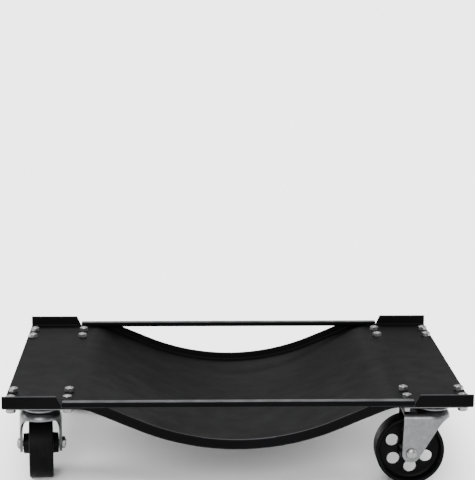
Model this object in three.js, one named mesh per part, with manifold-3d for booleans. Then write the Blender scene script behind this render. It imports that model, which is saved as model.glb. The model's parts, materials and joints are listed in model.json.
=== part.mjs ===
// Wheel dolly: a pressed steel tray that cradles a car wheel, on four swivel casters.
// Millimetres, +Z up. The origin is on the floor under the middle of the tray.
// X runs along the tray's length, and the front edge faces -Y.
import * as THREE from "three";
import { mergeVertices } from "three/addons/utils/BufferGeometryUtils.js";
import Module from "manifold-3d";

const wasm = await Module();
wasm.setup();

// Tray
const TRAY_LENGTH = 420;
const TRAY_DEPTH = 314;
const SHEET = 2.5;
const DECK_BOTTOM = 80;
const DECK_TOP = DECK_BOTTOM + SHEET;
const TROUGH_DROP = 38;
const TROUGH_HALF_CHORD = 146;
const TROUGH_RADIUS = 230;
const SHOULDER_RADIUS = 46;
const END_FLANGE_HEIGHT = 12.5;
const TROUGH_FLANGE_HEIGHT = 10;
const END_FLANGE_INNER_TOP = 162;
const END_FLANGE_INNER_FOOT = 157.5;

// Tie bars across the trough, lying on the deck ends
const TIE_BAR_HALF_LENGTH = 157;
const TIE_BAR_DEPTH = 8;
const TIE_BAR_THICKNESS = 4.6;

// Stiffener plates under the deck ends
const STIFFENER_THICKNESS = 2;
const STIFFENER_LENGTH = 62;
const STIFFENER_DEPTH = 286;
const STIFFENER_RELIEF_RADIUS = 10;

// Casters: place, mounting plate and fasteners
const CASTER_FROM_SIDE = 31;
const CASTER_FROM_FRONT = 39.5;
const PLATE_TOP = DECK_BOTTOM - STIFFENER_THICKNESS;
const PLATE_THICKNESS = 2.8;
const PLATE_BOTTOM = PLATE_TOP - PLATE_THICKNESS;
const PLATE_LENGTH = 62;
const PLATE_DEPTH = 44;
const PLATE_CORNER = 5;
const BOLT_SPACING_X = 51;
const BOLT_SPACING_Y = 27;
const BOLT_RADIUS = 2.5;
const BOLT_HEAD_ACROSS_FLATS = 8;
const BOLT_HEAD_HEIGHT = 3.5;
const BOLT_END_ABOVE_NUT = 0.6;
const WASHER_RADIUS = 5;
const WASHER_THICKNESS = 1;
const NUT_HEIGHT = 4;

// Casters: fork, swivel and wheel
const CLEARANCE = 0.3;
const OVERCUT = 1;
const WHEEL_RADIUS = 31.5;
const WHEEL_WIDTH = 22;
const WHEEL_TRAIL = 21;
const RIM_INNER_RADIUS = 28;
const RIM_CHAMFER = 1;
const RIM_TAPER = 1.6;
const HUB_TAPER = 1;
const WEB_THICKNESS = 4;
const HUB_RADIUS = 10.2;
const WHEEL_HOLES = 6;
const WHEEL_HOLE_RADIUS = 5.8;
const WHEEL_HOLE_PITCH_RADIUS = 17.4;
const WHEEL_HOLE_START = 34;
const FORK_WIDTH = 38.5;
const FORK_SHEET = 2.5;
const FORK_INNER_WIDTH = FORK_WIDTH - 2 * FORK_SHEET;
const FORK_BEND_RADIUS = 6;
const CROWN_TOP = 69;
const CROWN_BOTTOM = CROWN_TOP - FORK_SHEET;
const CROWN_LEADING_EDGE = 16;
const CROWN_LIP_BOTTOM = 62.2;
const FORK_TRAILING_EDGE = -28;
const FORK_FOOT_RADIUS = 8.3;
const FORK_NECK = { x: 3.2, z: 55.6 };
const FORK_LIP_START = 12.5;
const FORK_DIAGONAL_ANGLE = -0.64;
const RACE_RADIUS = 15;
const RACE_NECK_RADIUS = 13;
const RACE_LOWER_CHAMFER = 1.5;
const RACE_BAND = 1.5;
const RACE_UPPER_CHAMFER = 1.2;
const KING_PIN_RADIUS = 5;
const KING_PIN_HEAD_RADIUS = 7.5;
const KING_PIN_TOP_HEAD = 1.6;
const KING_PIN_FOOT_HEAD = 3.4;
const KING_PIN_CHAMFER = 2;
const AXLE_RADIUS = 3;
const AXLE_HEAD_RADIUS = 5.2;
const AXLE_HEAD_HEIGHT = 3;
const AXLE_DOME_STEPS = 4;
const AXLE_END_PAST_NUT = 0.8;
const AXLE_NUT_ACROSS_FLATS = 10;
const AXLE_NUT_HEIGHT = 3.2;
const BUSH_RADIUS = 5.6;
const HUB_LENGTH = FORK_INNER_WIDTH - 4 * CLEARANCE;
const BUSH_LENGTH = FORK_INNER_WIDTH - 2 * CLEARANCE;

// Where each caster stands, and the way its fork leads: the wheel trails behind the king pin.
const CASTERS = [
  { name: "front_left", side: -1, end: -1, leads: -85 },
  { name: "front_right", side: 1, end: -1, leads: 0 },
  { name: "rear_left", side: -1, end: 1, leads: -145 },
  { name: "rear_right", side: 1, end: 1, leads: -35 },
];

const MATERIALS = {
  paint: new THREE.MeshStandardMaterial({ color: 0x1a1b1d, roughness: 0.42, metalness: 0.2 }),
  zinc: new THREE.MeshStandardMaterial({ color: 0xb4b7ba, roughness: 0.3, metalness: 0.95 }),
  castIron: new THREE.MeshStandardMaterial({ color: 0x1d1e20, roughness: 0.45, metalness: 0.5 }),
  steel: new THREE.MeshStandardMaterial({ color: 0x9a9c9e, roughness: 0.35, metalness: 1 }),
};

const HALF_LENGTH = TRAY_LENGTH / 2;
const HALF_DEPTH = TRAY_DEPTH / 2;
const dolly = new THREE.Group();

// Solids -------------------------------------------------------------------------------------

function solid(geometry) {
  const bare = geometry.clone();
  bare.deleteAttribute("normal");
  bare.deleteAttribute("uv");
  const merged = mergeVertices(bare, 1e-4);
  return new wasm.Manifold(
    new wasm.Mesh({
      numProp: 3,
      vertProperties: new Float32Array(merged.attributes.position.array),
      triVerts: new Uint32Array(merged.index.array),
    }),
  );
}

function meshOf(name, shape, material) {
  const data = shape.getMesh();
  const geometry = new THREE.BufferGeometry();
  geometry.setAttribute("position", new THREE.BufferAttribute(data.vertProperties, 3));
  geometry.setIndex(new THREE.BufferAttribute(data.triVerts, 1));
  geometry.computeVertexNormals();
  const mesh = new THREE.Mesh(geometry, material);
  mesh.name = name;
  return mesh;
}

// A box given by its lowest and highest corners.
function box(low, high) {
  const size = high.map((value, i) => value - low[i]);
  const geometry = new THREE.BoxGeometry(...size);
  return solid(geometry.translate(...low.map((value, i) => value + size[i] / 2)));
}

// A round or six-sided bar along Z, from one height to another.
function bar(radius, bottom, top, { x = 0, y = 0, sides = 8 } = {}) {
  const geometry = new THREE.CylinderGeometry(radius, radius, top - bottom, sides);
  return solid(geometry.rotateX(Math.PI / 2).translate(x, y, (top + bottom) / 2));
}

function hexagon(acrossFlats, bottom, top) {
  return bar(acrossFlats / Math.sqrt(3), bottom, top, { sides: 6 });
}

// A plan outline raised along Z.
function raise(shape, bottom, top, curveSegments = 10) {
  const geometry = new THREE.ExtrudeGeometry(shape, {
    depth: top - bottom,
    bevelEnabled: false,
    curveSegments,
  });
  return solid(geometry.translate(0, 0, bottom));
}

// An outline drawn in X and Z, carried along Y.
function carryAlongY(shape, from, to, curveSegments = 10) {
  const geometry = new THREE.ExtrudeGeometry(shape, {
    depth: to - from,
    bevelEnabled: false,
    curveSegments,
  });
  return solid(geometry.rotateX(Math.PI / 2).translate(0, to, 0));
}

// An outline drawn in Y and Z, carried along X.
function carryAlongX(shape, from, to, curveSegments = 10) {
  const geometry = new THREE.ExtrudeGeometry(shape, {
    depth: to - from,
    bevelEnabled: false,
    curveSegments,
  });
  return solid(geometry.rotateX(Math.PI / 2).rotateZ(Math.PI / 2).translate(from, 0, 0));
}

// A turned piece whose axis is Z; the profile gives radius and height, and closes on itself.
function turn(profile, segments) {
  const points = profile.map(([radius, height]) => new THREE.Vector2(radius, height));
  return solid(new THREE.LatheGeometry(points, segments).rotateX(Math.PI / 2));
}

function roundedRectangle(length, depth, corner) {
  const x = length / 2;
  const y = depth / 2;
  const shape = new THREE.Shape();
  shape.moveTo(x - corner, -y);
  shape.absarc(x - corner, -y + corner, corner, -Math.PI / 2, 0);
  shape.absarc(x - corner, y - corner, corner, 0, Math.PI / 2);
  shape.absarc(-x + corner, y - corner, corner, Math.PI / 2, Math.PI);
  shape.absarc(-x + corner, -y + corner, corner, Math.PI, 1.5 * Math.PI);
  return shape;
}

// Tray ---------------------------------------------------------------------------------------

// The shoulder and trough arcs are joined by a straight flank that touches both.
const arcSum = TROUGH_RADIUS + SHOULDER_RADIUS;
const centreRise = arcSum - TROUGH_DROP;
const centreDistance = Math.hypot(TROUGH_HALF_CHORD, centreRise);
const FLANK_ANGLE = Math.atan2(TROUGH_HALF_CHORD, centreRise) - Math.acos(arcSum / centreDistance);
const SHOULDER_STEPS = 5;
const TROUGH_STEPS = 15;

// Points of the deck line seen from the front, moved out from the deck surface along its normal.
function deckLine(offset) {
  const troughCentre = DECK_TOP - TROUGH_DROP + TROUGH_RADIUS;
  const half = [[HALF_LENGTH, DECK_TOP + offset]];
  for (let i = 0; i <= SHOULDER_STEPS; i += 1) {
    const angle = (FLANK_ANGLE * i) / SHOULDER_STEPS;
    const radius = SHOULDER_RADIUS + offset;
    half.push([
      TROUGH_HALF_CHORD - radius * Math.sin(angle),
      DECK_TOP - SHOULDER_RADIUS + radius * Math.cos(angle),
    ]);
  }
  const points = half.map(([x, z]) => [-x, z]);
  for (let i = 0; i <= TROUGH_STEPS; i += 1) {
    const angle = FLANK_ANGLE * ((2 * i) / TROUGH_STEPS - 1);
    const radius = TROUGH_RADIUS - offset;
    points.push([radius * Math.sin(angle), troughCentre - radius * Math.cos(angle)]);
  }
  return points.concat(half.reverse());
}

// A strip between two offsets of the deck line.
function deckStrip(low, high) {
  const outline = deckLine(low).concat(deckLine(high).reverse());
  return new THREE.Shape(outline.map(([x, z]) => new THREE.Vector2(x, z)));
}

function endFlangeOutline(side) {
  const top = DECK_BOTTOM + END_FLANGE_HEIGHT;
  const corners = [
    [HALF_LENGTH, DECK_BOTTOM],
    [HALF_LENGTH, top],
    [END_FLANGE_INNER_TOP, top],
    [END_FLANGE_INNER_FOOT, DECK_TOP],
    [END_FLANGE_INNER_FOOT, DECK_BOTTOM],
  ];
  return new THREE.Shape(corners.map(([x, z]) => new THREE.Vector2(side * x, z)));
}

function boltPlaces(caster) {
  const places = [];
  for (const along of [-1, 1]) {
    for (const across of [-1, 1]) {
      places.push({
        x: caster.x + (along * BOLT_SPACING_X) / 2,
        y: caster.y + (across * BOLT_SPACING_Y) / 2,
      });
    }
  }
  return places;
}

for (const caster of CASTERS) {
  caster.x = caster.side * (HALF_LENGTH - CASTER_FROM_SIDE);
  caster.y = caster.end * (HALF_DEPTH - CASTER_FROM_FRONT);
}

function cutBoltHoles(shape, casters, bottom, top) {
  let drilled = shape;
  for (const caster of casters) {
    for (const place of boltPlaces(caster)) {
      drilled = drilled.subtract(bar(BOLT_RADIUS + CLEARANCE, bottom - OVERCUT, top + OVERCUT, place));
    }
  }
  return drilled;
}

function makeTray() {
  let tray = carryAlongY(deckStrip(-SHEET, 0), -HALF_DEPTH, HALF_DEPTH);
  const troughStrip = deckStrip(-SHEET, TROUGH_FLANGE_HEIGHT - SHEET);
  const aboveDeck = box(
    [-HALF_LENGTH - OVERCUT, -HALF_DEPTH - OVERCUT, DECK_TOP],
    [HALF_LENGTH + OVERCUT, HALF_DEPTH + OVERCUT, DECK_TOP + TROUGH_FLANGE_HEIGHT],
  );
  for (const end of [-1, 1]) {
    const outer = end * HALF_DEPTH;
    const inner = outer - end * SHEET;
    const from = Math.min(outer, inner);
    const to = Math.max(outer, inner);
    tray = tray.add(carryAlongY(troughStrip, from, to).subtract(aboveDeck));
    for (const side of [-1, 1]) {
      tray = tray.add(carryAlongY(endFlangeOutline(side), from, to));
    }
  }
  return cutBoltHoles(tray, CASTERS, DECK_BOTTOM, DECK_TOP);
}

dolly.add(meshOf("tray", makeTray(), MATERIALS.paint));

for (const [name, end] of [["front_tie_bar", -1], ["rear_tie_bar", 1]]) {
  const outer = end * HALF_DEPTH;
  const inner = outer - end * TIE_BAR_DEPTH;
  const tieBar = box(
    [-TIE_BAR_HALF_LENGTH, Math.min(outer, inner), DECK_TOP],
    [TIE_BAR_HALF_LENGTH, Math.max(outer, inner), DECK_TOP + TIE_BAR_THICKNESS],
  );
  dolly.add(meshOf(name, tieBar, MATERIALS.paint));
}

for (const [name, side] of [["left_stiffener", -1], ["right_stiffener", 1]]) {
  const casters = CASTERS.filter((caster) => caster.side === side);
  const outline = roundedRectangle(STIFFENER_LENGTH, STIFFENER_DEPTH, PLATE_CORNER);
  let stiffener = raise(outline, PLATE_TOP, DECK_BOTTOM, 2).translate([casters[0].x, 0, 0]);
  stiffener = cutBoltHoles(stiffener, casters, PLATE_TOP, DECK_BOTTOM);
  for (const { x, y } of casters) {
    const relief = { x, y, sides: 16 };
    stiffener = stiffener.subtract(
      bar(STIFFENER_RELIEF_RADIUS, PLATE_TOP - OVERCUT, DECK_BOTTOM + OVERCUT, relief),
    );
  }
  dolly.add(meshOf(name, stiffener, MATERIALS.paint));
}

// Caster pieces, each drawn with the king pin on Z and the fork leading along +X --------------

function kingPinHole(bottom, top) {
  return bar(KING_PIN_RADIUS + CLEARANCE, bottom - OVERCUT, top + OVERCUT, { sides: 16 });
}

function makePlate() {
  const outline = roundedRectangle(PLATE_LENGTH, PLATE_DEPTH, PLATE_CORNER);
  const plate = raise(outline, PLATE_BOTTOM, PLATE_TOP, 2);
  const bored = plate.subtract(kingPinHole(PLATE_BOTTOM, PLATE_TOP));
  return cutBoltHoles(bored, [{ x: 0, y: 0 }], PLATE_BOTTOM, PLATE_TOP);
}

function makeKingPin() {
  const foot = CROWN_BOTTOM - CLEARANCE;
  const profile = [
    [0, foot - KING_PIN_FOOT_HEAD],
    [KING_PIN_HEAD_RADIUS - KING_PIN_CHAMFER, foot - KING_PIN_FOOT_HEAD],
    [KING_PIN_HEAD_RADIUS, foot - KING_PIN_FOOT_HEAD + KING_PIN_CHAMFER],
    [KING_PIN_HEAD_RADIUS, foot],
    [KING_PIN_RADIUS, foot],
    [KING_PIN_RADIUS, PLATE_TOP],
    [KING_PIN_HEAD_RADIUS, PLATE_TOP],
    [KING_PIN_HEAD_RADIUS - KING_PIN_CHAMFER, PLATE_TOP + KING_PIN_TOP_HEAD],
    [0, PLATE_TOP + KING_PIN_TOP_HEAD],
  ];
  return turn(profile, 16);
}

function makeBallRace() {
  const top = PLATE_BOTTOM - CLEARANCE;
  const bore = KING_PIN_RADIUS + CLEARANCE;
  const bandTop = CROWN_TOP + RACE_LOWER_CHAMFER + RACE_BAND;
  const profile = [
    [bore, CROWN_TOP],
    [RACE_RADIUS - RACE_LOWER_CHAMFER, CROWN_TOP],
    [RACE_RADIUS, CROWN_TOP + RACE_LOWER_CHAMFER],
    [RACE_RADIUS, bandTop],
    [RACE_NECK_RADIUS, bandTop + RACE_UPPER_CHAMFER],
    [RACE_NECK_RADIUS, top],
    [bore, top],
    [bore, CROWN_TOP],
  ];
  return turn(profile, 20);
}

// Turned about Z, then laid on the axle line.
function onAxle(shape) {
  return shape.rotate([90, 0, 0]).translate([-WHEEL_TRAIL, 0, WHEEL_RADIUS]);
}

// The fork from the side: a wide crown that narrows to a round foot about the axle.
function forkSideOutline() {
  const front = CROWN_LEADING_EDGE + OVERCUT;
  const turnX = (FORK_NECK.x + FORK_LIP_START) / 2;
  const outline = new THREE.Shape();
  outline.moveTo(FORK_TRAILING_EDGE, CROWN_TOP);
  outline.lineTo(-WHEEL_TRAIL - FORK_FOOT_RADIUS, WHEEL_RADIUS);
  outline.absarc(
    -WHEEL_TRAIL,
    WHEEL_RADIUS,
    FORK_FOOT_RADIUS,
    Math.PI,
    2 * Math.PI + FORK_DIAGONAL_ANGLE,
  );
  outline.lineTo(FORK_NECK.x, FORK_NECK.z);
  outline.quadraticCurveTo(turnX, CROWN_LIP_BOTTOM, FORK_LIP_START, CROWN_LIP_BOTTOM);
  outline.lineTo(front, CROWN_LIP_BOTTOM);
  outline.lineTo(front, CROWN_TOP);
  return outline;
}

// The fork from the front: a sheet bent into an upside-down U.
function forkSection() {
  const half = FORK_WIDTH / 2;
  const innerHalf = FORK_INNER_WIDTH / 2;
  const innerBend = FORK_BEND_RADIUS - FORK_SHEET;
  const foot = WHEEL_RADIUS - FORK_FOOT_RADIUS - OVERCUT;
  const section = new THREE.Shape();
  section.moveTo(-half, foot);
  section.lineTo(-innerHalf, foot);
  section.absarc(-innerHalf + innerBend, CROWN_BOTTOM - innerBend, innerBend, Math.PI, Math.PI / 2, true);
  section.absarc(innerHalf - innerBend, CROWN_BOTTOM - innerBend, innerBend, Math.PI / 2, 0, true);
  section.lineTo(innerHalf, foot);
  section.lineTo(half, foot);
  const bendX = half - FORK_BEND_RADIUS;
  const bendZ = CROWN_TOP - FORK_BEND_RADIUS;
  section.absarc(bendX, bendZ, FORK_BEND_RADIUS, 0, Math.PI / 2);
  section.absarc(-bendX, bendZ, FORK_BEND_RADIUS, Math.PI / 2, Math.PI);
  return section;
}

// A plan outline with a half-round leading end.
function crownPlan(radius, from) {
  const centre = CROWN_LEADING_EDGE - FORK_WIDTH / 2;
  const plan = new THREE.Shape();
  plan.moveTo(from, -radius);
  plan.lineTo(centre, -radius);
  plan.absarc(centre, 0, radius, -Math.PI / 2, Math.PI / 2);
  plan.lineTo(from, radius);
  return plan;
}

function makeFork() {
  const half = FORK_WIDTH / 2;
  const centre = CROWN_LEADING_EDGE - half;
  const back = -WHEEL_TRAIL - 2 * FORK_FOOT_RADIUS;
  const legs = carryAlongY(forkSideOutline(), -half, half).intersect(
    carryAlongX(forkSection(), back, CROWN_LEADING_EDGE + OVERCUT, 5),
  );
  const rounded = legs.intersect(raise(crownPlan(half, back), 0, CROWN_TOP));
  const lip = raise(crownPlan(half, centre), CROWN_LIP_BOTTOM, CROWN_BOTTOM + OVERCUT).subtract(
    raise(crownPlan(half - FORK_SHEET, back), 0, CROWN_TOP),
  );
  const axleHole = onAxle(bar(AXLE_RADIUS + CLEARANCE, -FORK_WIDTH, FORK_WIDTH));
  return rounded.add(lip).subtract(axleHole).subtract(kingPinHole(CROWN_BOTTOM, CROWN_TOP));
}

function makeWheel() {
  const rim = WHEEL_WIDTH / 2;
  const web = WEB_THICKNESS / 2;
  const hub = HUB_LENGTH / 2;
  const bore = BUSH_RADIUS + CLEARANCE;
  const halfProfile = [
    [bore, hub],
    [HUB_RADIUS - HUB_TAPER, hub],
    [HUB_RADIUS, web],
    [RIM_INNER_RADIUS - RIM_TAPER, web],
    [RIM_INNER_RADIUS, rim],
    [WHEEL_RADIUS - RIM_CHAMFER, rim],
    [WHEEL_RADIUS, rim - RIM_CHAMFER],
  ];
  const otherHalf = halfProfile.map(([radius, height]) => [radius, -height]);
  const profile = [...otherHalf, ...halfProfile.reverse(), otherHalf[0]];
  let wheel = turn(profile, 32);
  for (let i = 0; i < WHEEL_HOLES; i += 1) {
    const angle = THREE.MathUtils.degToRad(WHEEL_HOLE_START + (i * 360) / WHEEL_HOLES);
    const place = {
      x: WHEEL_HOLE_PITCH_RADIUS * Math.cos(angle),
      y: WHEEL_HOLE_PITCH_RADIUS * Math.sin(angle),
      sides: 12,
    };
    wheel = wheel.subtract(bar(WHEEL_HOLE_RADIUS, -WEB_THICKNESS, WEB_THICKNESS, place));
  }
  return onAxle(wheel);
}

function makeBush() {
  const half = BUSH_LENGTH / 2;
  const bore = AXLE_RADIUS + CLEARANCE;
  const profile = [
    [bore, -half],
    [BUSH_RADIUS, -half],
    [BUSH_RADIUS, half],
    [bore, half],
    [bore, -half],
  ];
  return onAxle(turn(profile, 12));
}

function makeAxle() {
  const face = FORK_WIDTH / 2;
  const end = face + AXLE_NUT_HEIGHT + AXLE_END_PAST_NUT;
  const profile = [
    [0, -end],
    [AXLE_RADIUS, -end],
    [AXLE_RADIUS, face],
  ];
  for (let i = 0; i < AXLE_DOME_STEPS; i += 1) {
    const angle = (Math.PI / 2) * (i / AXLE_DOME_STEPS);
    profile.push([AXLE_HEAD_RADIUS * Math.cos(angle), face + AXLE_HEAD_HEIGHT * Math.sin(angle)]);
  }
  profile.push([0, face + AXLE_HEAD_HEIGHT]);
  return onAxle(turn(profile, 12));
}

function makeAxleNut() {
  const face = FORK_WIDTH / 2;
  const nut = hexagon(AXLE_NUT_ACROSS_FLATS, -face - AXLE_NUT_HEIGHT, -face);
  const bore = bar(AXLE_RADIUS + CLEARANCE, -face - AXLE_NUT_HEIGHT - OVERCUT, -face + OVERCUT);
  return onAxle(nut.subtract(bore));
}

// A bolt, its washer and its nut, tightened through plate, stiffener and deck.
function makeFastener() {
  const headTop = PLATE_BOTTOM - WASHER_THICKNESS;
  const nutTop = DECK_TOP + NUT_HEIGHT;
  return hexagon(BOLT_HEAD_ACROSS_FLATS, headTop - BOLT_HEAD_HEIGHT, headTop)
    .add(bar(WASHER_RADIUS, headTop, PLATE_BOTTOM, { sides: 12 }))
    .add(bar(BOLT_RADIUS, headTop, nutTop + BOLT_END_ABOVE_NUT))
    .add(hexagon(BOLT_HEAD_ACROSS_FLATS, DECK_TOP, nutTop));
}

const plate = makePlate();
const kingPin = makeKingPin();
const ballRace = makeBallRace();
const fork = makeFork();
const wheel = makeWheel();
const bush = makeBush();
const axle = makeAxle();
const axleNut = makeAxleNut();
const fastener = makeFastener();

for (const caster of CASTERS) {
  const fixed = new THREE.Group();
  fixed.position.set(caster.x, caster.y, 0);
  fixed.add(meshOf(`${caster.name}_caster_plate`, plate, MATERIALS.zinc));
  fixed.add(meshOf(`${caster.name}_king_pin`, kingPin, MATERIALS.steel));
  boltPlaces({ x: 0, y: 0 }).forEach(({ x, y }, i) => {
    const bolt = meshOf(`${caster.name}_bolt_${i + 1}`, fastener, MATERIALS.zinc);
    bolt.position.set(x, y, 0);
    fixed.add(bolt);
  });
  dolly.add(fixed);

  const swivel = new THREE.Group();
  swivel.position.set(caster.x, caster.y, 0);
  swivel.rotation.z = THREE.MathUtils.degToRad(caster.leads);
  swivel.add(meshOf(`${caster.name}_ball_race`, ballRace, MATERIALS.zinc));
  swivel.add(meshOf(`${caster.name}_fork`, fork, MATERIALS.zinc));
  swivel.add(meshOf(`${caster.name}_wheel`, wheel, MATERIALS.castIron));
  swivel.add(meshOf(`${caster.name}_bush`, bush, MATERIALS.steel));
  swivel.add(meshOf(`${caster.name}_axle`, axle, MATERIALS.zinc));
  swivel.add(meshOf(`${caster.name}_axle_nut`, axleNut, MATERIALS.zinc));
  dolly.add(swivel);
}

export default dolly;
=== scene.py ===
"""Looks of the wheel dolly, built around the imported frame."""

import json
import math

import bpy
import numpy as np
from mathutils import Matrix, Vector


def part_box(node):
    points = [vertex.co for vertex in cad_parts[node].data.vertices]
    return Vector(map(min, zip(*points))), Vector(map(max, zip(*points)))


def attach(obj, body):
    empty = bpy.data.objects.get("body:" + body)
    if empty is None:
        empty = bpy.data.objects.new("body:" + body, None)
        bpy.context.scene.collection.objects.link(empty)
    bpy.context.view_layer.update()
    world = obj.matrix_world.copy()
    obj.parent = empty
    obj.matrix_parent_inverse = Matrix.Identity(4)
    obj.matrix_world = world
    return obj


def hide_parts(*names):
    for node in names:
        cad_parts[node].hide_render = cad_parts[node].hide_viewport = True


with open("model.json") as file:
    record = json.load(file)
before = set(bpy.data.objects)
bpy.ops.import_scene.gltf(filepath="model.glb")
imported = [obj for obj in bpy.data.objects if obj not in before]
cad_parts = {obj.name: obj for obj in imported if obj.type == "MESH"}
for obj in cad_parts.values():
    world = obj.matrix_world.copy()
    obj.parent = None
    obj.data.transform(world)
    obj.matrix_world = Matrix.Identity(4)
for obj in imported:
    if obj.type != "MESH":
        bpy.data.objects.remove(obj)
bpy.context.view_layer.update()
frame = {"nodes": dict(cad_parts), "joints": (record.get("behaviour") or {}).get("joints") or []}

MM = 0.001
CASTERS = ("front_left", "front_right", "rear_left", "rear_right")
BOLTS_PER_CASTER = 4
ROOT = "tray_frame"

# Sizes read from the frame, in metres ---------------------------------------------------------

tray_low, tray_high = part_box("tray")
bar_low, bar_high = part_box("front_tie_bar")
stiffener_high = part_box("left_stiffener")[1]
plate_low, plate_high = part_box("front_right_caster_plate")
fork_low, fork_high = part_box("front_right_fork")
wheel_low, wheel_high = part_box("front_right_wheel")
race_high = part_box("front_right_ball_race")[1]
bush_low, bush_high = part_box("front_right_bush")
pin_low, pin_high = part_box("front_right_king_pin")

HALF_LENGTH = tray_high.x
HALF_DEPTH = tray_high.y
DECK_TOP = bar_low.z
DECK_BOTTOM = stiffener_high.z
SHEET = DECK_TOP - DECK_BOTTOM
FLANGE_TOP = tray_high.z
TROUGH_BOTTOM = tray_low.z

# Shape of the deck line, as in the CAD part
TROUGH_HALF_CHORD = 146 * MM
TROUGH_RADIUS = 230 * MM
SHOULDER_RADIUS = 46 * MM
TROUGH_FLANGE_RISE = 7.5 * MM
INNER_BEND = 1.8 * MM
CUT_EDGE = 0.7 * MM
FLANGE_INNER_TOP = 162 * MM
FLANGE_INNER_FOOT = 157.5 * MM

# Casters, as in the CAD part
WHEEL_TRAIL = 21 * MM
WHEEL_RADIUS = wheel_high.z / 2
WHEEL_HALF_WIDTH = 11 * MM
HUB_HALF = (wheel_high.y - wheel_low.y) / 2
FORK_HALF_WIDTH = (fork_high.y - fork_low.y) / 2
FORK_SHEET = 2.5 * MM
FORK_BEND = 6 * MM
FORK_FOOT_RADIUS = 8.3 * MM
FORK_DIAGONAL = 0.64
FORK_NECK = (3.2 * MM, 55.6 * MM)
FORK_LIP = (12.5 * MM, 62.2 * MM)
CROWN_LEADING_EDGE = 16 * MM
CROWN_TRAILING_EDGE = -28 * MM
CROWN_TOP = fork_high.z
PLATE_BOTTOM = plate_low.z
PLATE_TOP = plate_high.z


# Mesh building --------------------------------------------------------------------------------

def mesh_from(name, verts, faces, sharp_degrees=38):
    mesh = bpy.data.meshes.new(name)
    mesh.from_pydata([tuple(v) for v in verts], [], faces)
    mesh.validate()
    mesh.shade_smooth()
    mesh.set_sharp_from_angle(angle=math.radians(sharp_degrees))
    return mesh


def tidy(verts, faces, distance=1e-6):
    """Welds points in the same place and drops faces that collapse."""
    keys = {}
    order = []
    index = []
    for v in verts:
        key = tuple(round(c / distance) for c in v[:3])
        if key not in keys:
            keys[key] = len(order)
            order.append(v)
        index.append(keys[key])
    kept = []
    for face in faces:
        ring = []
        for i in face:
            if not ring or ring[-1] != index[i]:
                ring.append(index[i])
        if len(ring) > 1 and ring[0] == ring[-1]:
            ring.pop()
        if len(set(ring)) >= 3:
            kept.append(ring)
    return order, kept


def softened(points, cut, steps=3, closed=False):
    """Rounds the corners of an outline. Each corner is cut back by up to the given length."""
    count = len(points)
    result = []
    for i, point in enumerate(points):
        inner = closed or 0 < i < count - 1
        if not inner:
            result.append(Vector(point))
            continue
        here = Vector(point)
        before = Vector(points[i - 1]) - here
        after = Vector(points[(i + 1) % count]) - here
        length = min(cut, 0.45 * before.length, 0.45 * after.length)
        start = here + before.normalized() * length
        end = here + after.normalized() * length
        for k in range(steps + 1):
            t = k / steps
            result.append((1 - t) ** 2 * start + 2 * t * (1 - t) * here + t * t * end)
    return result


def lathe(profile, segments=64, closed=False):
    """Turns (radius, height) points about Z."""
    verts = []
    faces = []
    count = len(profile)
    for radius, height in profile:
        for k in range(segments):
            a = 2 * math.pi * k / segments
            verts.append((radius * math.cos(a), radius * math.sin(a), height))
    for i in range(count if closed else count - 1):
        j = (i + 1) % count
        for k in range(segments):
            n = (k + 1) % segments
            faces.append((i * segments + k, i * segments + n, j * segments + n, j * segments + k))
    return tidy(verts, faces)


def placed(verts, matrix):
    return [matrix @ Vector(v) for v in verts]


def joined(*solids):
    """Several (verts, faces) pairs as one pair."""
    verts = []
    faces = []
    for more_verts, more_faces in solids:
        base = len(verts)
        verts.extend(more_verts)
        faces.extend([tuple(base + i for i in face) for face in more_faces])
    return verts, faces


def round_edges(obj, width, segments, over_degrees):
    """Rounds the edges of an object that are sharper than an angle."""
    edges = obj.modifiers.new("edges", "BEVEL")
    edges.width = width
    edges.segments = segments
    edges.limit_method = "ANGLE"
    edges.angle_limit = math.radians(over_degrees)


def add_piece(name, shape, material, body, matrix=None, replaces=(), sharp=38):
    verts, faces = shape
    if matrix is not None:
        verts = placed(verts, matrix)
    piece = bpy.data.objects.new(name, mesh_from(name, verts, faces, sharp))
    bpy.context.scene.collection.objects.link(piece)
    piece.data.materials.append(material)
    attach(piece, body)
    if replaces:
        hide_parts(*replaces)
    return piece


# Materials ------------------------------------------------------------------------------------

def new_material(name):
    material = bpy.data.materials.new(name)
    material.use_nodes = True
    tree = material.node_tree
    shader = tree.nodes["Principled BSDF"]
    return material, tree, shader


def noise(tree, scale, detail=2.0, roughness=0.5, stretch=None):
    coordinates = tree.nodes.new("ShaderNodeTexCoord")
    texture = tree.nodes.new("ShaderNodeTexNoise")
    texture.inputs["Scale"].default_value = scale
    texture.inputs["Detail"].default_value = detail
    texture.inputs["Roughness"].default_value = roughness
    if stretch is None:
        tree.links.new(coordinates.outputs["Object"], texture.inputs["Vector"])
    else:
        mapping = tree.nodes.new("ShaderNodeMapping")
        mapping.inputs["Scale"].default_value = stretch
        tree.links.new(coordinates.outputs["Object"], mapping.inputs["Vector"])
        tree.links.new(mapping.outputs["Vector"], texture.inputs["Vector"])
    return texture.outputs["Fac"]


def ramp(tree, factor, low, high, start=0.3, end=0.7):
    node = tree.nodes.new("ShaderNodeValToRGB")
    node.color_ramp.elements[0].position = start
    node.color_ramp.elements[1].position = end
    node.color_ramp.elements[0].color = (*low, 1)
    node.color_ramp.elements[1].color = (*high, 1)
    tree.links.new(factor, node.inputs["Fac"])
    return node.outputs["Color"]


def span(tree, factor, low, high, start=0.25, end=0.75):
    node = tree.nodes.new("ShaderNodeMapRange")
    node.inputs["From Min"].default_value = start
    node.inputs["From Max"].default_value = end
    node.inputs["To Min"].default_value = low
    node.inputs["To Max"].default_value = high
    tree.links.new(factor, node.inputs["Value"])
    return node.outputs["Result"]


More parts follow.
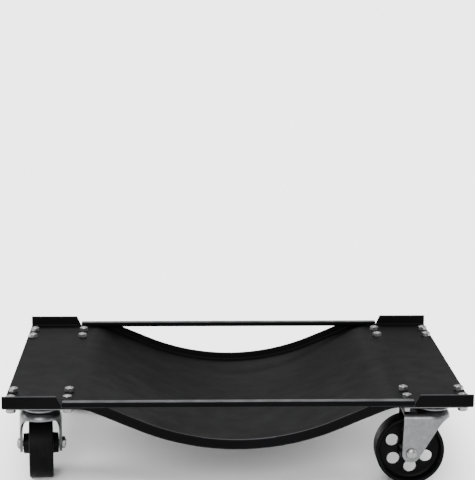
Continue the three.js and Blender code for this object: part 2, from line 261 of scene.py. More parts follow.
def bump(tree, shader, height, distance, strength=1.0):
    node = tree.nodes.new("ShaderNodeBump")
    node.inputs["Distance"].default_value = distance
    node.inputs["Strength"].default_value = strength
    tree.links.new(height, node.inputs["Height"])
    tree.links.new(node.outputs["Normal"], shader.inputs["Normal"])


def by_height_of_normal(tree, below, above, start=0.6, end=0.95):
    """One colour on faces that look up and another on the rest, whatever the camera sees."""
    geometry = tree.nodes.new("ShaderNodeNewGeometry")
    axes = tree.nodes.new("ShaderNodeSeparateXYZ")
    tree.links.new(geometry.outputs["Normal"], axes.inputs["Vector"])
    share = span(tree, axes.outputs["Z"], 0.0, 1.0, start, end)
    mix = tree.nodes.new("ShaderNodeMix")
    mix.data_type = "RGBA"
    tree.links.new(share, mix.inputs["Factor"])
    tree.links.new(below, mix.inputs["A"])
    tree.links.new(above, mix.inputs["B"])
    return mix.outputs["Result"]


def black_paint(name="black_powder_coat", low=0.0009, high=0.0019, gloss=0.014):
    material, tree, shader = new_material(name)
    shade = ramp(tree, noise(tree, 9, 4, 0.6), (low, low, low * 1.1), (high, high, high * 1.1))
    tree.links.new(shade, shader.inputs["Base Color"])
    tree.links.new(span(tree, noise(tree, 45, 3), 0.34, 0.46), shader.inputs["Roughness"])
    shader.inputs["Specular IOR Level"].default_value = gloss
    bump(tree, shader, noise(tree, 700, 2), 0.00006, 0.5)
    return material


def tie_bar_paint_with_reflection():
    """The tie bars' paint: black at the sides, with a painted reflection that lightens the upper face."""
    material, tree, shader = new_material("tie_bar_paint_painted_reflection")
    paint = ramp(tree, noise(tree, 9, 4, 0.6), (0.0009, 0.0009, 0.001), (0.0019, 0.0019, 0.0021))
    # Lighter colour for upward faces: a painted reflection on the bars' upper faces.
    painted_reflection = ramp(tree, noise(tree, 60, 5, 0.65), (0.022, 0.022, 0.023), (0.05, 0.051, 0.053))
    tree.links.new(by_height_of_normal(tree, paint, painted_reflection), shader.inputs["Base Color"])
    tree.links.new(span(tree, noise(tree, 80, 3), 0.26, 0.4), shader.inputs["Roughness"])
    shader.inputs["Specular IOR Level"].default_value = 0.014
    bump(tree, shader, noise(tree, 700, 2), 0.00005, 0.5)
    return material


def zinc(name, low, high):
    material, tree, shader = new_material(name)
    shader.inputs["Metallic"].default_value = 1.0
    cloud = ramp(tree, noise(tree, 160, 5, 0.62), low, high)
    tree.links.new(cloud, shader.inputs["Base Color"])
    tree.links.new(span(tree, noise(tree, 260, 3), 0.3, 0.42), shader.inputs["Roughness"])
    bump(tree, shader, noise(tree, 1400, 2), 0.00002, 0.35)
    return material


def cast_black():
    material, tree, shader = new_material("black_cast_wheel")
    tone = ramp(tree, noise(tree, 120, 4, 0.6), (0.0009, 0.0009, 0.001), (0.0022, 0.0022, 0.0024))
    tree.links.new(tone, shader.inputs["Base Color"])
    tree.links.new(span(tree, noise(tree, 300, 3), 0.3, 0.46), shader.inputs["Roughness"])
    shader.inputs["Specular IOR Level"].default_value = 0.03
    bump(tree, shader, noise(tree, 1100, 3, 0.6), 0.00008, 0.5)
    return material


def tread_material():
    """The turned running face, with fine rings that follow the wheel's own axis."""
    material, tree, shader = new_material("turned_tread")
    own = tree.nodes.new("ShaderNodeAttribute")
    own.attribute_name = WHEEL_FRAME
    stretched = tree.nodes.new("ShaderNodeMapping")
    stretched.inputs["Scale"].default_value = (0.08, 0.08, 1)
    tree.links.new(own.outputs["Vector"], stretched.inputs["Vector"])
    rings = tree.nodes.new("ShaderNodeTexNoise")
    rings.inputs["Scale"].default_value = 1400
    rings.inputs["Detail"].default_value = 3
    tree.links.new(stretched.outputs["Vector"], rings.inputs["Vector"])
    tone = ramp(tree, rings.outputs["Fac"], (0.0008, 0.0008, 0.0009), (0.0026, 0.0026, 0.0029))
    tree.links.new(tone, shader.inputs["Base Color"])
    tree.links.new(span(tree, rings.outputs["Fac"], 0.36, 0.5), shader.inputs["Roughness"])
    shader.inputs["Specular IOR Level"].default_value = 0.025
    bump(tree, shader, rings.outputs["Fac"], 0.00003, 0.5)
    return material


def plain_steel():
    material, tree, shader = new_material("oiled_steel")
    shader.inputs["Metallic"].default_value = 1.0
    tone = ramp(tree, noise(tree, 220, 4), (0.12, 0.12, 0.125), (0.2, 0.2, 0.205))
    tree.links.new(tone, shader.inputs["Base Color"])
    tree.links.new(span(tree, noise(tree, 500, 3), 0.28, 0.42), shader.inputs["Roughness"])
    bump(tree, shader, noise(tree, 1200, 2), 0.00002, 0.4)
    return material


WHEEL_FRAME = "wheel_frame"
PAINT = black_paint()
# A lighter copy of the black paint: a painted highlight on the flanges' upper faces.
FLANGE_TOP_HIGHLIGHT = black_paint("flange_top_painted_highlight", 0.012, 0.026, 0.03)
# Tie bar paint whose upper faces carry a painted reflection.
BAR_PAINT_AND_REFLECTION = tie_bar_paint_with_reflection()
ZINC = zinc("bright_zinc", (0.08, 0.0815, 0.084), (0.12, 0.1215, 0.125))
FASTENER_ZINC = zinc("fastener_zinc", (0.12, 0.12, 0.122), (0.2, 0.2, 0.202))
CAST = cast_black()
TREAD = tread_material()
STEEL = plain_steel()


# Tray -----------------------------------------------------------------------------------------

trough_drop = DECK_BOTTOM - TROUGH_BOTTOM
arc_sum = TROUGH_RADIUS + SHOULDER_RADIUS
centre_rise = arc_sum - trough_drop
FLANK_ANGLE = math.atan2(TROUGH_HALF_CHORD, centre_rise) - math.acos(
    arc_sum / math.hypot(TROUGH_HALF_CHORD, centre_rise)
)


def deck_stations():
    """(x, z, slope angle) along the right half of the deck's top surface, from the end inwards."""
    stations = []
    flats = [HALF_LENGTH, HALF_LENGTH - 6 * MM, 190 * MM, 175 * MM, FLANGE_INNER_TOP + 1 * MM]
    flats += [FLANGE_INNER_TOP, (FLANGE_INNER_TOP + FLANGE_INNER_FOOT) / 2, FLANGE_INNER_FOOT, 151 * MM]
    for x in flats:
        stations.append((x, DECK_TOP, 0.0))
    for i in range(11):
        a = FLANK_ANGLE * i / 10
        stations.append((
            TROUGH_HALF_CHORD - SHOULDER_RADIUS * math.sin(a),
            DECK_TOP - SHOULDER_RADIUS * (1 - math.cos(a)),
            a,
        ))
    centre_z = DECK_TOP - trough_drop + TROUGH_RADIUS
    top = stations[-1]
    foot = (TROUGH_RADIUS * math.sin(FLANK_ANGLE), centre_z - TROUGH_RADIUS * math.cos(FLANK_ANGLE))
    for i in range(1, 10):
        t = i / 10
        stations.append((top[0] + (foot[0] - top[0]) * t, top[1] + (foot[1] - top[1]) * t, FLANK_ANGLE))
    for i in range(25):
        a = FLANK_ANGLE * (1 - i / 24)
        stations.append((TROUGH_RADIUS * math.sin(a), centre_z - TROUGH_RADIUS * math.cos(a), a))
    return stations


def flange_rise(x, z, slope):
    """How far the edge flange stands above the deck surface, along its normal."""
    if x >= FLANGE_INNER_TOP:
        return FLANGE_TOP - DECK_TOP
    if x >= FLANGE_INNER_FOOT:
        t = (x - FLANGE_INNER_FOOT) / (FLANGE_INNER_TOP - FLANGE_INNER_FOOT)
        return t * (FLANGE_TOP - DECK_TOP)
    return min(TROUGH_FLANGE_RISE, (DECK_TOP - z) / math.cos(slope))


def edge_section(height):
    """The folded edge: (distance in from the face, height over the sheet's underside)."""
    outer_bend = INNER_BEND + SHEET
    points = []
    for i in range(7):
        a = math.pi / 2 * i / 6
        n = outer_bend * (1 - math.cos(a))
        points.append((outer_bend * (1 - math.sin(a)), min(n, height - CUT_EDGE)))
    for i in range(4):
        a = math.pi / 2 * i / 3
        points.append((CUT_EDGE * (1 - math.cos(a)), height - CUT_EDGE * (1 - math.sin(a))))
    for i in range(4):
        a = math.pi / 2 * i / 3
        n = height - CUT_EDGE * (1 - math.cos(a))
        points.append((SHEET - CUT_EDGE * (1 - math.sin(a)), max(n, SHEET)))
    for i in range(5):
        a = math.pi / 2 * i / 4
        n = SHEET + INNER_BEND * (1 - math.sin(a))
        points.append((SHEET + INNER_BEND * (1 - math.cos(a)), max(SHEET, min(n, height))))
    return points


def tray_shape():
    half = deck_stations()
    stations = [(-x, z, -a, flange_rise(x, z, a)) for x, z, a in half]
    stations += [(x, z, a, flange_rise(x, z, a)) for x, z, a in reversed(half[:-1])]
    verts = []
    ring = 0
    for x, z, a, rise in stations:
        front = [(d - HALF_DEPTH, n) for d, n in edge_section(SHEET + rise)]
        rear = [(HALF_DEPTH - d, n) for d, n in reversed(edge_section(SHEET + rise))]
        loop = front + rear
        ring = len(loop)
        for y, n in loop:
            lift = n - SHEET
            verts.append((x - lift * math.sin(a), y, z + lift * math.cos(a)))
    faces = []
    for s in range(len(stations) - 1):
        for k in range(ring):
            m = (k + 1) % ring
            faces.append((s * ring + k, (s + 1) * ring + k, (s + 1) * ring + m, s * ring + m))
    faces.append(tuple(range(ring)))
    faces.append(tuple(reversed(range(len(verts) - ring, len(verts)))))
    return tidy(verts, faces)


def add_tray():
    piece = add_piece("tray_shell", tray_shape(), PAINT, ROOT, replaces=["tray"], sharp=40)
    piece.data.materials.append(FLANGE_TOP_HIGHLIGHT)
    # Upward faces of the edge flanges get the lighter copy of the paint, a painted highlight.
    for polygon in piece.data.polygons:
        on_flange = abs(polygon.center.y) > HALF_DEPTH - SHEET
        if on_flange and polygon.normal.z > 0.7:
            polygon.material_index = 1


add_tray()


# Flat bars and plates -------------------------------------------------------------------------

def prism(outline, bottom, top, edge):
    """A plan outline raised along Z with rounded upper and lower edges."""
    count = len(outline)
    verts = []
    levels = []
    for i in range(4):
        a = math.pi / 2 * i / 3
        levels.append((edge * (1 - math.sin(a)), bottom + edge * (1 - math.cos(a))))
    levels += [(inset, top - (z - bottom)) for inset, z in reversed(levels)]
    normals = []
    for i in range(count):
        before = Vector(outline[i]) - Vector(outline[i - 1])
        after = Vector(outline[(i + 1) % count]) - Vector(outline[i])
        along = (before.normalized() + after.normalized()).normalized()
        normals.append(Vector((along.y, -along.x)))
    for inset, z in levels:
        for i, point in enumerate(outline):
            p = Vector(point) - normals[i] * inset
            verts.append((p.x, p.y, z))
    faces = []
    for level in range(len(levels) - 1):
        for k in range(count):
            m = (k + 1) % count
            below = level * count
            above = below + count
            faces.append((below + k, below + m, above + m, above + k))
    faces.append(tuple(reversed(range(count))))
    faces.append(tuple(range(len(verts) - count, len(verts))))
    return verts, faces


def rounded_rectangle(length, depth, corner, steps=6):
    points = []
    for quarter, (sx, sy) in enumerate(((1, 1), (-1, 1), (-1, -1), (1, -1))):
        for i in range(steps + 1):
            a = math.pi / 2 * (quarter + i / steps)
            x = sx * (length / 2 - corner) + corner * math.cos(a)
            y = sy * (depth / 2 - corner) + corner * math.sin(a)
            points.append((x, y))
    return points


BAR_CORNER = 0.8 * MM
BAR_EDGE = 0.6 * MM


def add_tie_bars():
    length = bar_high.x - bar_low.x
    depth = bar_high.y - bar_low.y
    for name in ("front_tie_bar", "rear_tie_bar"):
        low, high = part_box(name)
        shape = prism(rounded_rectangle(length, depth, BAR_CORNER), low.z, high.z, BAR_EDGE)
        place = Matrix.Translation(((low.x + high.x) / 2, (low.y + high.y) / 2, 0))
        add_piece(name + "_strip", shape, BAR_PAINT_AND_REFLECTION, ROOT, place, [name])


def weld_bead(length, radius, ripples):
    """A run of overlapping ripples along X."""
    verts = []
    faces = []
    rings = ripples * 4
    sides = 10
    for i in range(rings + 1):
        t = i / rings
        taper = math.sin(math.pi * min(1, 0.06 + 0.88 * t)) ** 0.35
        bulge = radius * taper * (1 + 0.14 * math.cos(2 * math.pi * ripples * t))
        for k in range(sides):
            a = 2 * math.pi * k / sides
            verts.append((length * (t - 0.5), bulge * math.cos(a), bulge * 0.7 * math.sin(a)))
    for i in range(rings):
        for k in range(sides):
            m = (k + 1) % sides
            faces.append((i * sides + k, i * sides + m, (i + 1) * sides + m, (i + 1) * sides + k))
    faces.append(tuple(reversed(range(sides))))
    faces.append(tuple(range(rings * sides, (rings + 1) * sides)))
    return verts, faces


WELD_LENGTH = 9 * MM
WELD_RADIUS = 1.5 * MM
WELD_RIPPLES = 7
WELD_FROM_MIDDLE = 151.5 * MM
WELD_GAP = 0.2 * MM
WELD_LIFT = 0.4 * MM


def add_weld_beads():
    """One bead at each end of each tie bar, on the side that faces the middle of the tray."""
    bead = weld_bead(WELD_LENGTH, WELD_RADIUS, WELD_RIPPLES)
    rows = (
        ("front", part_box("front_tie_bar")[1].y + WELD_GAP),
        ("rear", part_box("rear_tie_bar")[0].y - WELD_GAP),
    )
    for end, y in rows:
        for side, sign in (("left", -1), ("right", 1)):
            place = Matrix.Translation((sign * WELD_FROM_MIDDLE, y, DECK_TOP + WELD_LIFT))
            name = f"{end}_{side}_weld_bead"
            add_piece(name, bead, PAINT, ROOT, place, sharp=60)


add_tie_bars()
add_weld_beads()


def dress_stiffeners():
    for name in ("left_stiffener", "right_stiffener"):
        node = frame["nodes"][name]
        node.data.materials.clear()
        node.data.materials.append(PAINT)
        round_edges(node, 0.4 * MM, segments=2, over_degrees=50)


dress_stiffeners()


# Fasteners ------------------------------------------------------------------------------------

HEXAGON_SIDE_STEPS = 8
HEXAGON_EDGE = 0.12 * MM


def chamfered_end(radii, face_radius, end, inward):
    """Rings of (radius, z) from a turned end face out to the flats. inward is +1 or -1 along Z."""
    slope = math.tan(math.radians(30))
    face = [(face_radius * 0.98, end) for _ in radii]
    middle = []
    outer = []
    for radius in radii:
        halfway = (face_radius + radius) / 2
        middle.append((halfway, end + inward * max(0.0, halfway - face_radius) * slope))
        outer.append((radius, end + inward * (max(0.0, radius - face_radius) * slope + 0.08 * MM)))
    return [face, middle, outer]


def hexagon_solid(across_flats, bottom, top, chamfer_high=True):
    """A six-sided head or nut whose corners are turned off at 30 degrees, drawn about Z."""
    segments = 6 * HEXAGON_SIDE_STEPS
    flat = across_flats / 2
    face_radius = flat * 0.93
    radii = []
    for k in range(segments):
        a = 2 * math.pi * k / segments
        folded = (a + math.pi / 6) % (math.pi / 3) - math.pi / 6
        radii.append(flat / math.cos(folded))
    rings = chamfered_end(radii, face_radius, bottom, 1)
    if chamfer_high:
        rings += reversed(chamfered_end(radii, face_radius, top, -1))
    else:
        rings.append([(radius, top - HEXAGON_EDGE) for radius in radii])
        rings.append([(radius - HEXAGON_EDGE, top) for radius in radii])
    verts = []
    for ring in rings:
        for k, (radius, z) in enumerate(ring):
            a = 2 * math.pi * k / segments
            verts.append((radius * math.cos(a), radius * math.sin(a), z))
    faces = []
    for i in range(len(rings) - 1):
        for k in range(segments):
            m = (k + 1) % segments
            here = i * segments
            there = here + segments
            faces.append((here + k, here + m, there + m, there + k))
    faces.append(tuple(reversed(range(segments))))
    faces.append(tuple(range(len(verts) - segments, len(verts))))
    return verts, faces


def washer_solid(outer, inner, bottom, top):
    soft = 0.2 * MM
    profile = softened([(inner, bottom), (outer, bottom), (outer, top), (inner, top)], soft, 3, closed=True)
    return lathe(profile, 48, closed=True)


def threaded_end(radius, bottom, top):
    """A bolt's shank with thread ridges near its top end."""
    depth = 0.3 * MM
    ridges = 4
    start = top - 0.4 * MM - ridges * THREAD_PITCH
    profile = [(0, bottom), (radius, bottom), (radius, start)]
    for i in range(ridges):
        profile.append((radius - depth, start + (i + 0.5) * THREAD_PITCH))
        profile.append((radius, start + (i + 1) * THREAD_PITCH))
    profile += [(radius - 0.4 * MM, top), (0, top)]
    return lathe(profile, 32)


BOLT_RADIUS = 2.5 * MM
BOLT_ACROSS_FLATS = 8 * MM
BOLT_HEAD = 3.5 * MM
WASHER_RADIUS = 5 * MM
NUT_HEIGHT = 4 * MM
THREAD_PITCH = 0.8 * MM


def add_fasteners(caster, seed):
    turn = np.random.default_rng(seed)
    for i in range(1, BOLTS_PER_CASTER + 1):
        node = f"{caster}_bolt_{i}"
        low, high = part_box(node)
        centre = (low + high) / 2
        washer_bottom = low.z + BOLT_HEAD
        head_angle, nut_angle = turn.uniform(0, math.pi / 3, 2)
        spot = Matrix.Translation((centre.x, centre.y, 0))
        head = hexagon_solid(BOLT_ACROSS_FLATS, low.z, washer_bottom, chamfer_high=False)
        shank = threaded_end(BOLT_RADIUS, washer_bottom - 1 * MM, high.z)
        turned = spot @ Matrix.Rotation(head_angle, 4, "Z")
        add_piece(f"{node}_screw", joined(head, shank), FASTENER_ZINC, ROOT, turned, [node], sharp=25)
        washer = washer_solid(WASHER_RADIUS, BOLT_RADIUS, washer_bottom, PLATE_BOTTOM)
        add_piece(f"{node}_washer", washer, FASTENER_ZINC, ROOT, spot)
        nut = hexagon_solid(BOLT_ACROSS_FLATS, DECK_TOP, DECK_TOP + NUT_HEIGHT)
        turned = spot @ Matrix.Rotation(nut_angle, 4, "Z")
        add_piece(f"{node}_nut", nut, FASTENER_ZINC, ROOT, turned, sharp=25)


# Caster pieces, drawn with the king pin on Z and the fork leading along +X ----------------------

def fork_edge_height(x):
    """The lower edge of the fork's wall at a distance x ahead of the king pin."""
    turn_x = FORK_FOOT_RADIUS * math.cos(FORK_DIAGONAL) - WHEEL_TRAIL
    turn_z = WHEEL_RADIUS - FORK_FOOT_RADIUS * math.sin(FORK_DIAGONAL)
    neck_x, neck_z = FORK_NECK
    lip_x, lip_z = FORK_LIP
    if x <= turn_x:
        return WHEEL_RADIUS - math.sqrt(max(0.0, FORK_FOOT_RADIUS**2 - (x + WHEEL_TRAIL) ** 2))
    if x <= neck_x:
        return turn_z + (neck_z - turn_z) * (x - turn_x) / (neck_x - turn_x)
    if x <= lip_x:
        t = (x - neck_x) / (lip_x - neck_x)
        return (1 - t) ** 2 * neck_z + (2 * t * (1 - t) + t * t) * lip_z
    return lip_z


def fork_columns():
    """Where the wall's columns stand: (x, None) along a leg, then (None, angle) round the leading lip."""
    arc_centre = CROWN_LEADING_EDGE - FORK_HALF_WIDTH
    columns = []
    for i in range(15):
        a = math.pi + (math.pi - FORK_DIAGONAL) * i / 14
        columns.append((FORK_FOOT_RADIUS * math.cos(a) - WHEEL_TRAIL, None))
    straight = columns[-1][0]
    for i in range(1, 6):
        columns.append((straight + (arc_centre - straight) * i / 6, None))
    for i in range(15):
        columns.append((None, math.pi / 2 * (1 - i / 14)))
    return columns


# The trailing edge leans forward of the foot, over a run that starts behind the king pin
FORK_LEAN_START = -8 * MM
FORK_LEAN_RUN = 21.3 * MM
WALL_ROWS = 10
BEND_ROWS = 6
CROSS_ROWS = 8


def fork_point(column, row):
    """A point on the middle of the fork's sheet, on the side of +Y, followed by its outward normal."""
    x_foot, angle = column
    radius = FORK_HALF_WIDTH - FORK_SHEET / 2
    bend = FORK_BEND - FORK_SHEET / 2
    wall_top = CROWN_TOP - FORK_BEND
    arc_centre = CROWN_LEADING_EDGE - FORK_HALF_WIDTH
    edge_x = x_foot if angle is None else arc_centre + radius * math.cos(angle)
    low = fork_edge_height(edge_x)
    tilt = math.pi / 2 * max(0, row - WALL_ROWS) / BEND_ROWS
    inset = bend * (1 - math.cos(tilt))
    z = wall_top + bend * math.sin(tilt)
    if row < WALL_ROWS:
        z = low + (wall_top - low) * row / WALL_ROWS
    if angle is None:
        lean = CROWN_TRAILING_EDGE + WHEEL_TRAIL + FORK_FOOT_RADIUS
        share = min(1.0, max(0.0, (FORK_LEAN_START - x_foot) / FORK_LEAN_RUN))
        x = x_foot + lean * share * (z - WHEEL_RADIUS) / (CROWN_TOP - WHEEL_RADIUS)
        return (x, radius - inset, z, 0.0, math.cos(tilt), math.sin(tilt))
    ahead = math.cos(angle)
    aside = math.sin(angle)
    reach = radius - inset
    normal = (math.cos(tilt) * ahead, math.cos(tilt) * aside, math.sin(tilt))
    return (arc_centre + reach * ahead, reach * aside, z, *normal)


def mirrored(point):
    x, y, z, nx, ny, nz = point
    return (x, -y, z, nx, -ny, nz)


def thickened(sheet, thickness):
    """Two skins on either side of a sheet given as points with normals, closed along its open edges."""
    points, faces = tidy(*sheet)
    count = len(points)
    verts = []
    for sign in (1, -1):
        for x, y, z, nx, ny, nz in points:
            step = sign * thickness / 2
            verts.append((x + nx * step, y + ny * step, z + nz * step))
    edges = set()
    for face in faces:
        edges.update(zip(face, face[1:] + face[:1]))
    closed = list(faces)
    closed += [[i + count for i in reversed(face)] for face in faces]
    closed += [[b, a, a + count, b + count] for a, b in sorted(edges) if (b, a) not in edges]
    return verts, closed


def fork_shape():
    """The fork as one bent sheet: rows run from a leg's foot up the wall, over the bend and across."""
    verts = []
    rings = []
    for column in fork_columns():
        left = [fork_point(column, row) for row in range(WALL_ROWS + BEND_ROWS + 1)]
        right = [mirrored(point) for point in reversed(left)]
        across = []
        for i in range(1, CROSS_ROWS):
            y = left[-1][1] * (1 - 2 * i / CROSS_ROWS)
            across.append((left[-1][0], y, left[-1][2], 0.0, 0.0, 1.0))
        ring = left + across + right
        rings.append(range(len(verts), len(verts) + len(ring)))
        verts.extend(ring)
    faces = []
    for here, there in zip(rings, rings[1:]):
        for k in range(len(here) - 1):
            faces.append([here[k], here[k + 1], there[k + 1], there[k]])
    return thickened((verts, faces), FORK_SHEET)


def add_fork(caster, body, matrix):
    name = f"{caster}_fork_shell"
    piece = add_piece(name, FORK_SHAPE, ZINC, body, matrix, [f"{caster}_fork"], sharp=50)
    round_edges(piece, 0.4 * MM, segments=3, over_degrees=45)


FORK_SHAPE = fork_shape()


def axle_matrix():
    """Lays a piece turned about Z along the axle, its +Z end on the side that shows the bolt's head."""
    return Matrix.Translation((-WHEEL_TRAIL, 0, WHEEL_RADIUS)) @ Matrix.Rotation(math.pi / 2, 4, "X")


RIM_INNER = 28 * MM
WEB_HALF = 2 * MM
HUB_RADIUS = 10.2 * MM
BORE = 5.9 * MM
HOLES = 6
HOLE_RADIUS = 5.8 * MM
HOLE_PITCH = 17.4 * MM
HOLE_PHASE = math.radians(34)
WEB_IN = 11 * MM
WEB_OUT = 25.2 * MM
ARC_STEPS = 16
RADIAL_STEPS = 8


def sector_outline(k):
    """The edge of one sixth of the web, as a ring of points."""
    centre = HOLE_PHASE + 2 * math.pi * k / HOLES
    half = math.pi / HOLES
    points = []
    for i in range(ARC_STEPS):
        a = centre - half + 2 * half * i / ARC_STEPS
        points.append((WEB_OUT, a))
    for i in range(RADIAL_STEPS):
        points.append((WEB_OUT + (WEB_IN - WEB_OUT) * i / RADIAL_STEPS, centre + half))
    for i in range(ARC_STEPS):
        a = centre + half - 2 * half * i / ARC_STEPS
        points.append((WEB_IN, a))
    for i in range(RADIAL_STEPS):
        points.append((WEB_IN + (WEB_OUT - WEB_IN) * i / RADIAL_STEPS, centre - half))
    return [Vector((r * math.cos(a), r * math.sin(a))) for r, a in points]


def web_shape():
    """The flat web in six sectors, each stitched from its edge in to the rim of its hole and through it."""
    soft = 0.5 * MM
    rim = HOLE_RADIUS + soft
    levels = [(share, rim, WEB_HALF) for share in (0.0, 0.4, 0.75)]
    for i in range(4):
        a = math.pi / 2 * i / 3
        levels.append((1.0, HOLE_RADIUS + soft * (1 - math.sin(a)), WEB_HALF - soft * (1 - math.cos(a))))
    levels += [(share, reach, -z) for share, reach, z in reversed(levels)]
    verts = []
    faces = []
    for k in range(HOLES):
        outline = sector_outline(k)
        count = len(outline)
        angle = HOLE_PHASE + 2 * math.pi * k / HOLES
        centre = Vector((HOLE_PITCH * math.cos(angle), HOLE_PITCH * math.sin(angle)))
        base = len(verts)
        for share, reach, z in levels:
            for point in outline:
                edge = centre + (point - centre).normalized() * reach
                p = point.lerp(edge, share)
                verts.append((p.x, p.y, z))
        for level in range(len(levels) - 1):
            here = base + level * count
            there = here + count
            for i in range(count):
                m = (i + 1) % count
                faces.append((here + i, here + m, there + m, there + i))
    return verts, faces


HUB_TAPER = 1 * MM
HUB_FILLET = 0.9 * MM
RIM_FILLET = 0.8 * MM
RIM_CHAMFER = 0.9 * MM
RIM_FOOT = RIM_INNER - 0.6 * MM
RIM_MOUTH = RIM_INNER + 0.4 * MM


def both_sides(half):
    """A profile of (radius, height) for one side of a part, followed by its mirror image."""
    return half + [(radius, -height) for radius, height in reversed(half)]


def wheel_parts():
    """The wheel about Z: hub and rim as turned profiles, joined by the pierced web."""
    segments = HOLES * ARC_STEPS
    turn = Matrix.Rotation(HOLE_PHASE - math.pi / HOLES, 4, "Z")
    hub_profile = softened(both_sides([
        (WEB_IN, WEB_HALF),
        (HUB_RADIUS, WEB_HALF + HUB_FILLET),
        (HUB_RADIUS - HUB_TAPER, HUB_HALF),
        (BORE, HUB_HALF),
    ]), 0.7 * MM)
    lower_rim = [
        (WEB_OUT, -WEB_HALF),
        (RIM_FOOT, -WEB_HALF - RIM_FILLET),
        (RIM_MOUTH, -WHEEL_HALF_WIDTH),
        (WHEEL_RADIUS - RIM_CHAMFER, -WHEEL_HALF_WIDTH),
        (WHEEL_RADIUS, -WHEEL_HALF_WIDTH + RIM_CHAMFER),
    ]
    rim_profile = softened(both_sides(lower_rim), 0.8 * MM)
    hub_verts, hub_faces = lathe(hub_profile, segments)
    rim_verts, rim_faces = lathe(rim_profile, segments)
    hub = (placed(hub_verts, turn), hub_faces)
    rim = (placed(rim_verts, turn), rim_faces)
    return tidy(*joined(hub, rim, web_shape()))


def add_wheel(caster, matrix):
    name = f"{caster}_wheel_casting"
    lay = matrix @ axle_matrix()
    piece = add_piece(
        name, WHEEL_SHAPE, CAST, f"{caster}_roller", lay, [f"{caster}_wheel"], sharp=45
    )
    piece.data.materials.append(TREAD)
    own_frame = piece.data.attributes.new(WHEEL_FRAME, "FLOAT_VECTOR", "POINT")
    to_axle = lay.inverted()
    for vertex, own in zip(piece.data.vertices, own_frame.data):
        own.vector = to_axle @ vertex.co
    for polygon in piece.data.polygons:
        centre = to_axle @ polygon.center
        on_tread = math.hypot(centre.x, centre.y) > WHEEL_RADIUS - 0.3 * MM
        if on_tread and abs(centre.z) < WHEEL_HALF_WIDTH - 0.8 * MM:
            polygon.material_index = 1


WHEEL_SHAPE = wheel_parts()
AXLE_RADIUS = 3 * MM
AXLE_HEAD_RADIUS = 5.2 * MM
AXLE_HEAD = 3 * MM
AXLE_NUT_ACROSS_FLATS = 10 * MM
AXLE_NUT = 3.2 * MM
AXLE_END_PAST_NUT = 0.8 * MM
BUSH_RADIUS = 5.6 * MM
BUSH_BORE = 3.3 * MM


def add_axle_set(caster, body, matrix):
    face = FORK_HALF_WIDTH
    end = -face - AXLE_NUT - AXLE_END_PAST_NUT
    step = 0.5 * MM
    lay = matrix @ axle_matrix()
    profile = [
        (0, end),
        (AXLE_RADIUS - 0.3 * MM, end),
        (AXLE_RADIUS, end + 0.3 * MM),
        (AXLE_RADIUS, face),
        (AXLE_HEAD_RADIUS, face),
        (AXLE_HEAD_RADIUS, face + step),
    ]
    for i in range(1, 9):
        a = math.pi / 2 * i / 8
        profile.append((AXLE_HEAD_RADIUS * math.cos(a), face + step + (AXLE_HEAD - step) * math.sin(a)))
    bolt = lathe(profile, 48)
    add_piece(f"{caster}_axle_bolt", bolt, FASTENER_ZINC, body, lay, [f"{caster}_axle"], sharp=40)
    nut = hexagon_solid(AXLE_NUT_ACROSS_FLATS, -face - AXLE_NUT, -face)
    add_piece(f"{caster}_lock_nut", nut, FASTENER_ZINC, body, lay, [f"{caster}_axle_nut"], sharp=25)
    half = (bush_high.y - bush_low.y) / 2
    corners = [(BUSH_BORE, -half), (BUSH_RADIUS, -half), (BUSH_RADIUS, half), (BUSH_BORE, half)]
    tube = lathe(softened(corners, 0.3 * MM, 3, True), 48, True)
    add_piece(f"{caster}_spacer_bush", tube, STEEL, body, lay, [f"{caster}_bush"])


RACE_RADIUS = 15 * MM
RACE_NECK = 13 * MM
RACE_BORE = 5.4 * MM
RACE_CHAMFER = 1.5 * MM
KING_PIN_RADIUS = 5 * MM
KING_PIN_HEAD = 7.5 * MM
KING_PIN_FOOT = 3.4 * MM
PLATE_CORNER = 5 * MM
PLATE_EDGE = 0.5 * MM


def race_shape():
    corners = [
        (RACE_BORE, CROWN_TOP),
        (RACE_RADIUS - RACE_CHAMFER, CROWN_TOP),
        (RACE_RADIUS, CROWN_TOP + RACE_CHAMFER),
        (RACE_RADIUS, CROWN_TOP + 3 * MM),
        (RACE_NECK, CROWN_TOP + 4.2 * MM),
        (RACE_NECK, race_high.z),
        (RACE_BORE, race_high.z),
    ]
    return lathe(softened(corners, 0.9 * MM, 4, True), 72, True)


def king_pin_shape():
    foot = pin_low.z + KING_PIN_FOOT
    corners = [
        (0, pin_low.z),
        (KING_PIN_HEAD - 1.9 * MM, pin_low.z),
        (KING_PIN_HEAD, pin_low.z + 1.9 * MM),
        (KING_PIN_HEAD, foot),
        (KING_PIN_RADIUS, foot),
        (KING_PIN_RADIUS, PLATE_TOP),
        (KING_PIN_HEAD, PLATE_TOP),
        (KING_PIN_HEAD - 1.5 * MM, pin_high.z),
        (0, pin_high.z),
    ]
    return lathe(softened(corners, 0.6 * MM, 4), 48)


def plate_shape():
    outline = rounded_rectangle(plate_high.x - plate_low.x, plate_high.y - plate_low.y, PLATE_CORNER)
    return prism(outline, PLATE_BOTTOM, PLATE_TOP, PLATE_EDGE)


def add_swivel_set(caster, body, matrix):
    spot = Matrix.Translation(matrix.translation)
    race = race_shape()
    pin = king_pin_shape()
    plate = plate_shape()
    add_piece(f"{caster}_raceway", race, ZINC, body, matrix, [f"{caster}_ball_race"], sharp=35)
    add_piece(f"{caster}_king_rivet", pin, STEEL, ROOT, spot, [f"{caster}_king_pin"])
    add_piece(f"{caster}_top_plate", plate, ZINC, ROOT, spot, [f"{caster}_caster_plate"], sharp=30)


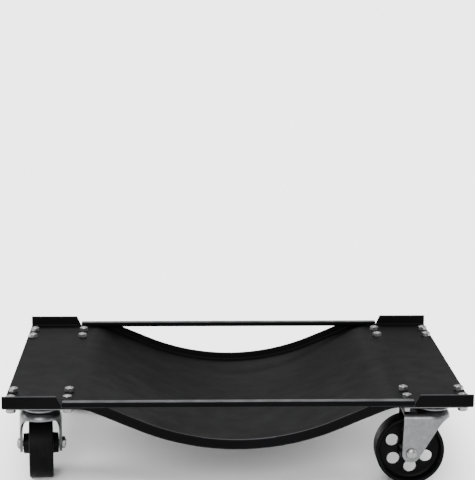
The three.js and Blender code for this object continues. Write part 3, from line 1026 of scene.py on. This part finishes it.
def caster_matrices():
    """Each caster's frame at rest: the king pin's line, turned so that +X leads."""
    joints = {joint["name"]: joint for joint in frame["joints"]}
    matrices = {}
    for caster in CASTERS:
        swivel = Vector(joints[f"{caster}_swivel_turn"]["pos_m"])
        axle = Vector(joints[f"{caster}_wheel_spin"]["pos_m"])
        ahead = swivel - axle
        angle = math.atan2(ahead.y, ahead.x)
        matrices[caster] = Matrix.Translation((swivel.x, swivel.y, 0)) @ Matrix.Rotation(angle, 4, "Z")
    return matrices


for seed, (caster, matrix) in enumerate(caster_matrices().items()):
    swivel_body = f"{caster}_swivel"
    add_fasteners(caster, seed)
    add_swivel_set(caster, swivel_body, matrix)
    add_fork(caster, swivel_body, matrix)
    add_wheel(caster, matrix)
    add_axle_set(caster, swivel_body, matrix)


# Studio ---------------------------------------------------------------------------------------

def studio_floor():
    reach = 40.0
    mesh = mesh_from(
        "studio_floor",
        [(-reach, -reach, 0), (reach, -reach, 0), (reach, reach, 0), (-reach, reach, 0)],
        [(0, 1, 2, 3)],
    )
    floor = bpy.data.objects.new("studio_floor", mesh)
    bpy.context.scene.collection.objects.link(floor)
    material, tree, shader = new_material("pale_floor")
    tone = ramp(tree, noise(tree, 0.6, 3), (0.86, 0.86, 0.86), (0.88, 0.88, 0.88))
    tree.links.new(tone, shader.inputs["Base Color"])
    shader.inputs["Roughness"].default_value = 0.9
    shader.inputs["Specular IOR Level"].default_value = 0.1
    mesh.materials.append(material)


def sun(name, energy, angle, azimuth, elevation):
    """A soft distant light that comes from an azimuth, counted from +X towards +Y, and an elevation."""
    data = bpy.data.lights.new(name, "SUN")
    data.energy = energy
    data.angle = math.radians(angle)
    light = bpy.data.objects.new(name, data)
    bpy.context.scene.collection.objects.link(light)
    a, e = math.radians(azimuth), math.radians(elevation)
    source = Vector((math.cos(a) * math.cos(e), math.sin(a) * math.cos(e), math.sin(e)))
    light.rotation_euler = source.to_track_quat("Z", "Y").to_euler()


def studio_lights():
    world = bpy.data.worlds.new("studio")
    bpy.context.scene.world = world
    world.use_nodes = True
    background = world.node_tree.nodes["Background"]
    background.inputs["Color"].default_value = (1, 1, 1, 1)
    background.inputs["Strength"].default_value = 0.8
    sun("overhead", energy=5.6, angle=60, azimuth=-100, elevation=75)
    sun("left_side", energy=3.2, angle=40, azimuth=180, elevation=30)
    sun("right_side", energy=3.2, angle=40, azimuth=0, elevation=30)
    sun("front_low", energy=3.4, angle=30, azimuth=-95, elevation=24)
    sun("rear_low", energy=2.0, angle=30, azimuth=100, elevation=48)


CAMERA_PLACE = (-0.05152, -1.59197, 0.50067)
CAMERA_LENS = 125.636
CAMERA_YAW = math.radians(1.9816)
CAMERA_PITCH = math.radians(10.5481)
CAMERA_ROLL = math.radians(0.2669)


def main_camera():
    """Stands in front of the dolly, slightly left, looking down at it."""
    data = bpy.data.cameras.new("camera")
    data.lens = CAMERA_LENS
    data.sensor_width = 36
    data.sensor_fit = "AUTO"
    camera = bpy.data.objects.new("camera", data)
    bpy.context.scene.collection.objects.link(camera)
    ahead = math.cos(CAMERA_PITCH)
    look = Vector((math.sin(CAMERA_YAW) * ahead, math.cos(CAMERA_YAW) * ahead, -math.sin(CAMERA_PITCH)))
    turn = look.to_track_quat("-Z", "Y").to_matrix().to_4x4() @ Matrix.Rotation(CAMERA_ROLL, 4, "Z")
    camera.matrix_world = Matrix.Translation(CAMERA_PLACE) @ turn
    bpy.context.scene.camera = camera


studio_floor()
studio_lights()
main_camera()
